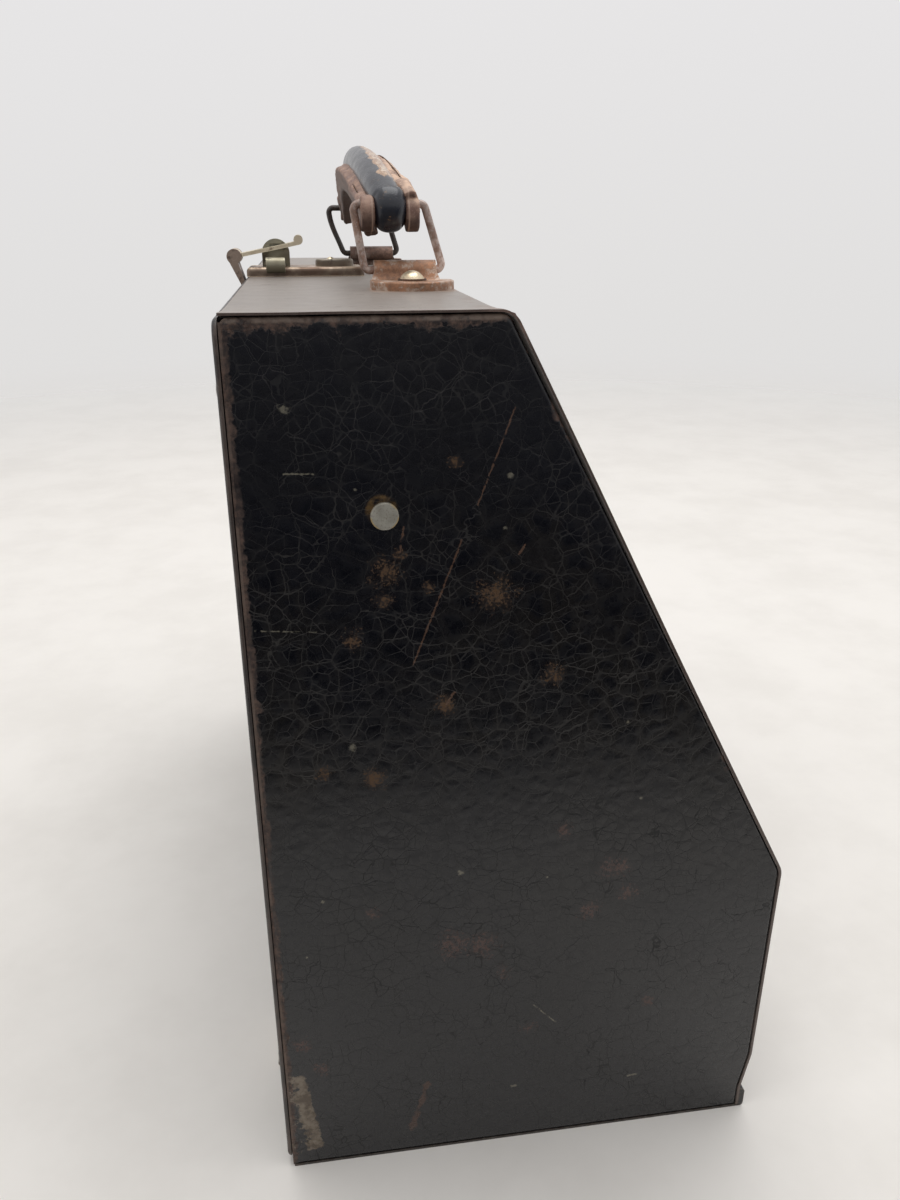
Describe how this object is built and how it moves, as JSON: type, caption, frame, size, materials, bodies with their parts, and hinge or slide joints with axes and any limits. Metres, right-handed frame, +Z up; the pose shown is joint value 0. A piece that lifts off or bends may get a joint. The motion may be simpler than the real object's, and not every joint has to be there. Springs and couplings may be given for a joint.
{
  "type": "typewriter case",
  "caption": "Portable typewriter case of black crackled sheet steel: a sloping cover hinged to a board-lined base, with a hasp over a staple and a folding leather carrying handle.",
  "frame": {"origin": "middle of the whole case's box, on the floor that its rear end stands on", "axes": "+Z up from the floor to the handle, +X from the base plate towards the sloping cover, +Y across the case, away from the pictured side panel"},
  "size_m": [0.1836, 0.364, 0.3501],
  "materials": {
    "black_enamel": "black crackled enamel, rusty along the edges",
    "inner_steel": "dull bare steel",
    "hinge_steel": "dull aged steel",
    "rusty_steel": "rust-brown steel",
    "bright_rivet": "aged nickel",
    "lock_nickel": "worn nickel over brass",
    "lock_brass": "dull olive brass",
    "black_leather": "glossy black leather, worn tan on the crest",
    "brown_leather": "stitched brown leather",
    "spring_steel": "spring steel",
    "board_wood": "plain softwood board"
  },
  "bodies": {
    "cover": {"cover_wrap": "black_enamel", "bottom_plate": "black_enamel", "side_panel_near": "black_enamel", "side_panel_far": "black_enamel", "side_stud_near": "bright_rivet", "side_stud_far": "bright_rivet", "hold_clip_near": "inner_steel", "hold_clip_far": "inner_steel", "cover_hinge_leaf_near": "hinge_steel", "cover_hinge_leaf_far": "hinge_steel", "cover_hinge_rivets": "hinge_steel", "hinge_pin_near": "hinge_steel", "hinge_pin_far": "hinge_steel", "handle_bracket_near": "rusty_steel", "handle_bracket_far": "rusty_steel", "bracket_washer_near": "rusty_steel", "bracket_washer_far": "rusty_steel", "backing_plate_near": "inner_steel", "backing_plate_far": "inner_steel", "bracket_rivets": "bright_rivet", "lock_plate": "lock_nickel", "lock_backing": "inner_steel", "lock_staple": "lock_brass", "lock_saddle": "lock_brass", "lock_boss": "lock_nickel", "lock_rivets": "bright_rivet"},
    "base": {"base_tray": "black_enamel", "base_board": "board_wood", "board_screws": "hinge_steel", "glides": "hinge_steel", "base_hinge_leaf_near": "hinge_steel", "base_hinge_leaf_far": "hinge_steel", "base_hinge_rivets": "hinge_steel", "hasp_leaf": "lock_nickel", "hasp_pin": "lock_nickel", "hasp_rivets": "lock_nickel"},
    "hasp": {"hasp_strap": "lock_nickel"},
    "bail_near": {"bail_near": "rusty_steel"},
    "handle": {"grip_core": "spring_steel", "grip_roll": "black_leather", "grip_welt_left": "brown_leather", "grip_welt_right": "brown_leather"},
    "bail_far": {"bail_far": "rusty_steel"}
  },
  "joints": [
    {"name": "base_hinge", "type": "hinge", "parent": "cover", "child": "base", "pos_m": [-0.08695, 0, 0.003], "axis": [0, -1, 0], "range_deg": [0, 88]},
    {"name": "hasp_hinge", "type": "hinge", "parent": "base", "child": "hasp", "pos_m": [-0.08885, 0, 0.3077], "axis": [0, -1, 0], "range_deg": [-13.5, 160]},
    {"name": "near_bail_fold", "type": "hinge", "parent": "cover", "child": "bail_near", "pos_m": [-0.02615, -0.082, 0.3058], "axis": [1, 0, 0], "range_deg": [-60, 60]},
    {"name": "grip_turn", "type": "hinge", "parent": "bail_near", "child": "handle", "pos_m": [-0.03115, -0.082, 0.327], "axis": [1, 0, 0], "range_deg": [-60, 60]},
    {"name": "far_bail_fold", "type": "hinge", "parent": "cover", "child": "bail_far", "pos_m": [-0.02615, 0.082, 0.3058], "axis": [1, 0, 0], "range_deg": [-60, 60]}
  ],
  "couplings": [
    {"joint": "grip_turn", "follows": "near_bail_fold", "ratio": -1},
    {"joint": "far_bail_fold", "follows": "near_bail_fold", "ratio": 1}
  ]
}
